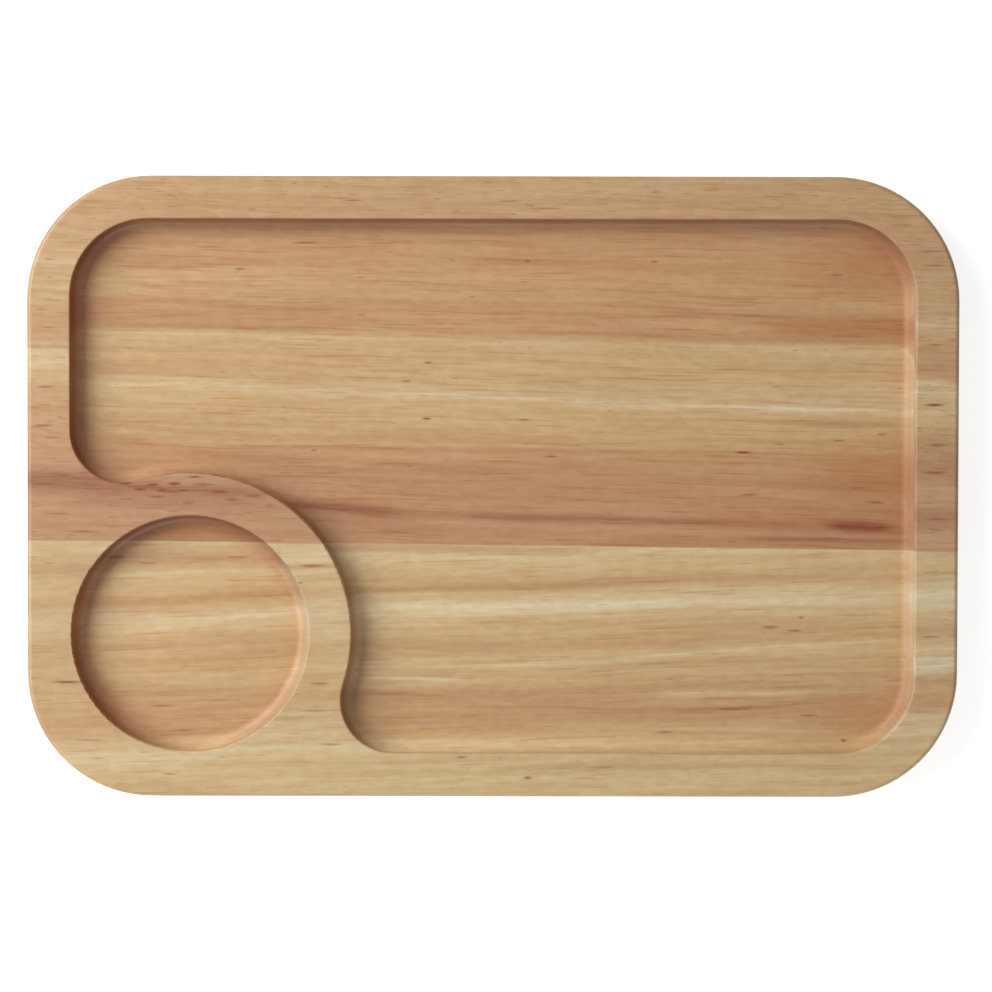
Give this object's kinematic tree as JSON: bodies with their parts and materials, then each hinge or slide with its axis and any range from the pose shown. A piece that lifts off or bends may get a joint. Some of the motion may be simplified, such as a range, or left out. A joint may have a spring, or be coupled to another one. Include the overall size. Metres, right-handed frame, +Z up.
{
  "type": "serving board",
  "caption": "Rectangular wooden serving board with round corners, a food recess and a smaller round dip recess in one corner.",
  "frame": {"origin": "middle of the underside", "axes": "+X along the length, away from the round dip recess; +Y towards the back edge; +Z up, out of the recesses"},
  "size_m": [0.3, 0.2, 0.015],
  "materials": {
    "wood_back": "oiled satin",
    "wood_front": "oiled satin"
  },
  "bodies": {
    "root": {"stave_back": "wood_back", "stave_front": "wood_front"}
  },
  "joints": []
}
